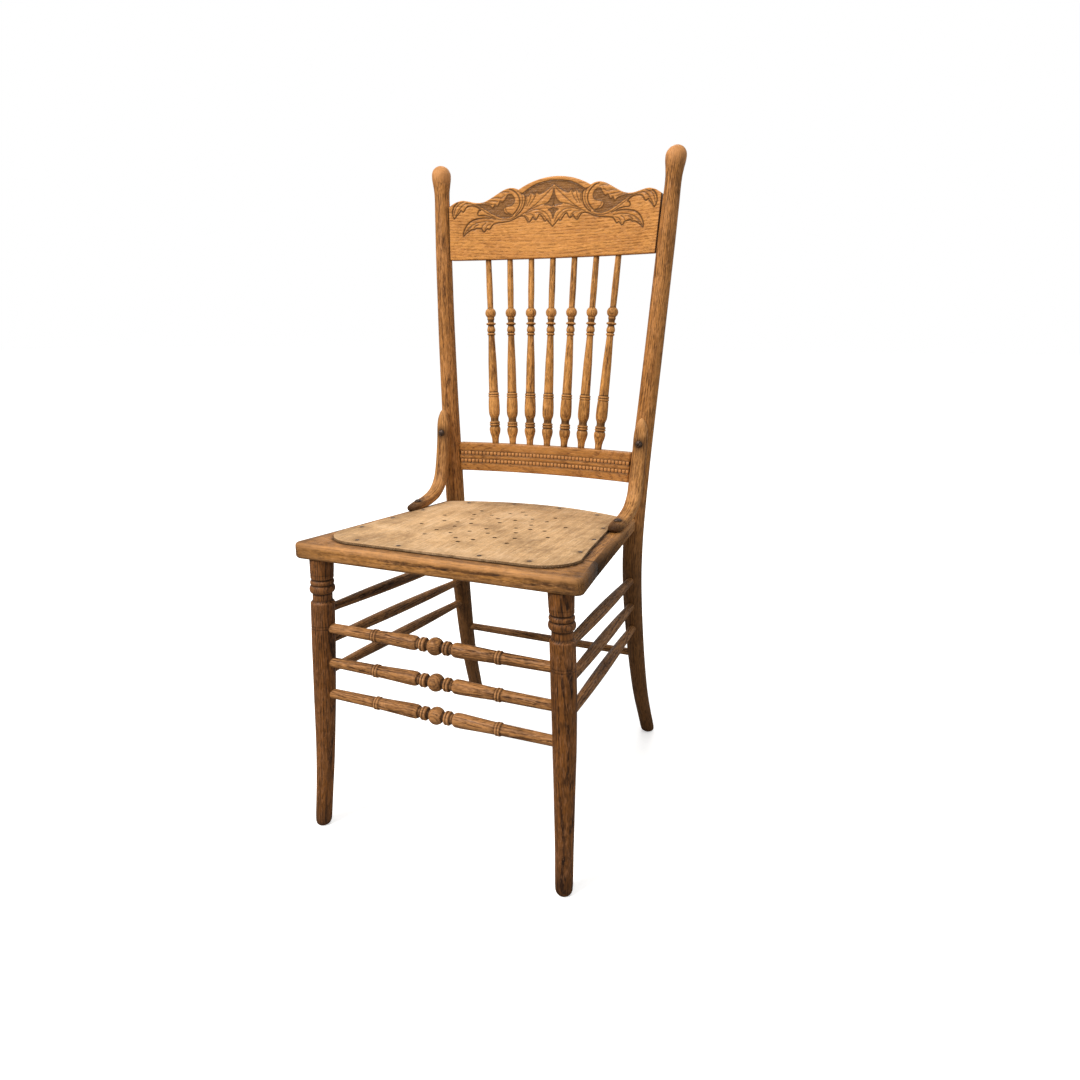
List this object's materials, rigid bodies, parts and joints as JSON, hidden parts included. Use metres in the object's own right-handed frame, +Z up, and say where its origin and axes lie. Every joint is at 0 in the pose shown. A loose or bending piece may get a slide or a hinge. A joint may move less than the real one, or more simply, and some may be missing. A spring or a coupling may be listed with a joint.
{
  "type": "side chair",
  "caption": "Wooden side chair with bent back posts, turned legs, spindles and stretchers, a bowed scrolled crest rail and a thin perforated seat panel.",
  "frame": {"origin": "middle of the chair's footprint, on the floor that it stands on", "axes": "+Z up, -Y the way a sitter faces, +X to the sitter's left"},
  "size_m": [0.4366, 0.505, 1.006],
  "materials": {
    "post_oak": "worn varnish",
    "crest_oak": "satin varnish",
    "frame_oak": "worn varnish",
    "leg_oak": "dark worn varnish",
    "stretcher_oak": "worn varnish",
    "brace_oak": "worn varnish",
    "panel_ply": "dull, worn bare",
    "iron": "dull"
  },
  "bodies": {
    "root": {"back_post_left": "post_oak", "back_post_right": "post_oak", "brace_foot_screw_left": "iron", "brace_foot_screw_right": "iron", "brace_left": "brace_oak", "brace_right": "brace_oak", "brace_top_screw_left": "iron", "brace_top_screw_right": "iron", "crest_rail": "crest_oak", "frame_dowel_1": "frame_oak", "frame_dowel_2": "frame_oak", "frame_dowel_3": "frame_oak", "frame_dowel_4": "frame_oak", "frame_dowel_5": "frame_oak", "frame_dowel_6": "frame_oak", "frame_dowel_7": "frame_oak", "frame_dowel_8": "frame_oak", "front_leg_left": "leg_oak", "front_leg_right": "leg_oak", "front_stretcher_bottom": "stretcher_oak", "front_stretcher_middle": "stretcher_oak", "front_stretcher_top": "stretcher_oak", "lower_back_rail": "post_oak", "post_screw_left": "iron", "post_screw_right": "iron", "rear_stretcher": "stretcher_oak", "seat_back_rail": "frame_oak", "seat_front_rail": "frame_oak", "seat_panel": "panel_ply", "seat_side_rail_left": "frame_oak", "seat_side_rail_right": "frame_oak", "seat_tack_1": "iron", "seat_tack_10": "iron", "seat_tack_11": "iron", "seat_tack_12": "iron", "seat_tack_13": "iron", "seat_tack_14": "iron", "seat_tack_2": "iron", "seat_tack_3": "iron", "seat_tack_4": "iron", "seat_tack_5": "iron", "seat_tack_6": "iron", "seat_tack_7": "iron", "seat_tack_8": "iron", "seat_tack_9": "iron", "side_stretcher_left_bottom": "stretcher_oak", "side_stretcher_left_middle": "stretcher_oak", "side_stretcher_left_top": "stretcher_oak", "side_stretcher_right_bottom": "stretcher_oak", "side_stretcher_right_middle": "stretcher_oak", "side_stretcher_right_top": "stretcher_oak", "spindle_1": "crest_oak", "spindle_2": "crest_oak", "spindle_3": "crest_oak", "spindle_4": "crest_oak", "spindle_5": "crest_oak", "spindle_6": "crest_oak", "spindle_7": "crest_oak"}
  },
  "joints": []
}
